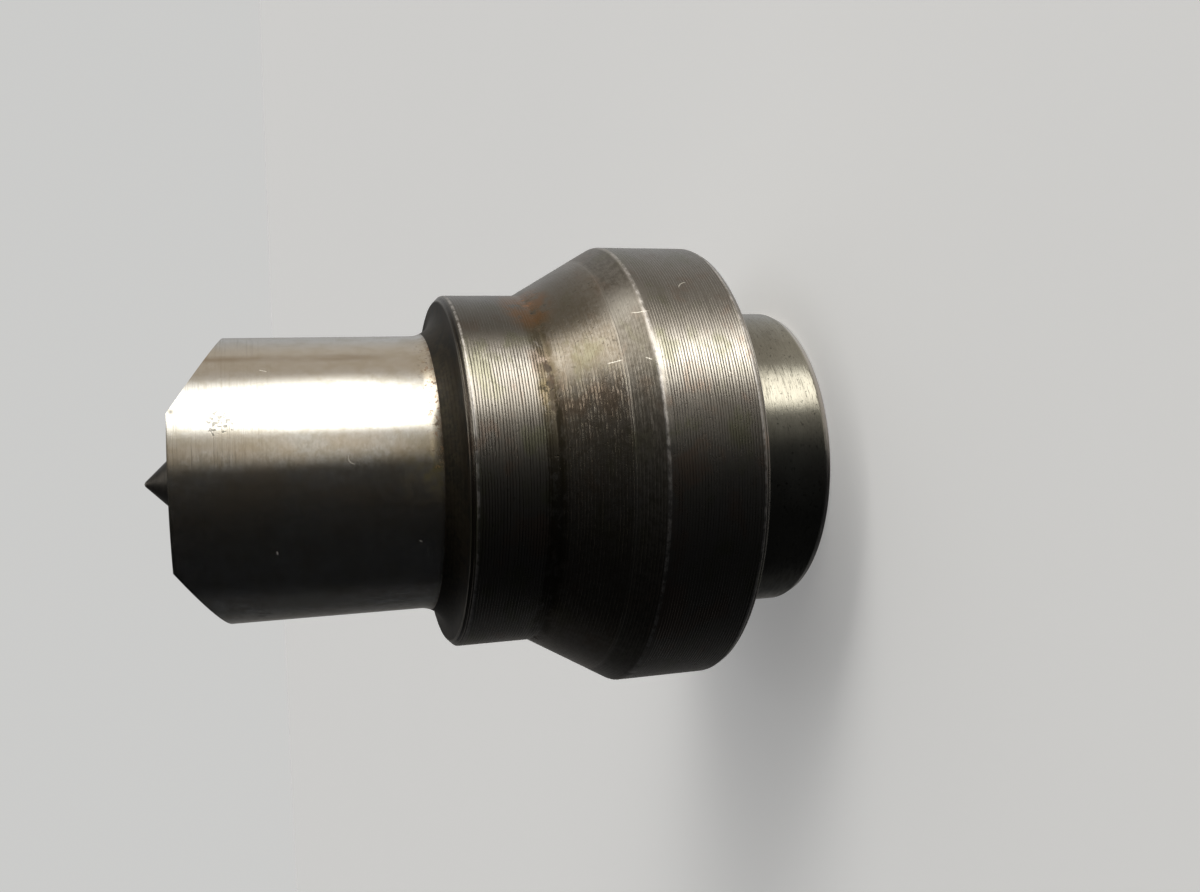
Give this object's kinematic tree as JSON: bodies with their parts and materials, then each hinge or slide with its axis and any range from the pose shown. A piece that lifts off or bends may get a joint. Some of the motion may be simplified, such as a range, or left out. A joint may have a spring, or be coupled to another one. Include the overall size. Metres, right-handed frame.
{
  "type": "press punch",
  "caption": "Shouldered steel press punch with a roof-ground nose, conical retaining shoulder, wide rim, locating spigot and a sprung centre pin.",
  "frame": {"origin": "centre of the flat end of the spigot, on the tool's axis", "axes": "+Z along the axis, from the spigot towards the nose; the strip on the nose's end runs along Y and its two flats fall towards +X and -X"},
  "size_m": [0.04, 0.04, 0.0566],
  "materials": {
    "punch_steel": "ground bright on the nose, satin on the spigot, dark as-turned with fine feed marks and specks of rust between them",
    "pin_steel": "dark hardened steel with turned cone point",
    "spring_steel": "drawn wire",
    "screw_steel": "black oxide"
  },
  "bodies": {
    "punch": {"punch_body": "punch_steel", "pin_spring": "spring_steel", "backing_screw": "screw_steel"},
    "pin": {"centre_pin": "pin_steel"}
  },
  "joints": [
    {"name": "pin_slide", "type": "slide", "parent": "punch", "child": "pin", "axis": [0, 0, -1], "range_m": [0, 0.0027], "stiffness_N_per_m": 10000, "springref_m": -0.0015, "deforming": ["pin_spring"]}
  ]
}
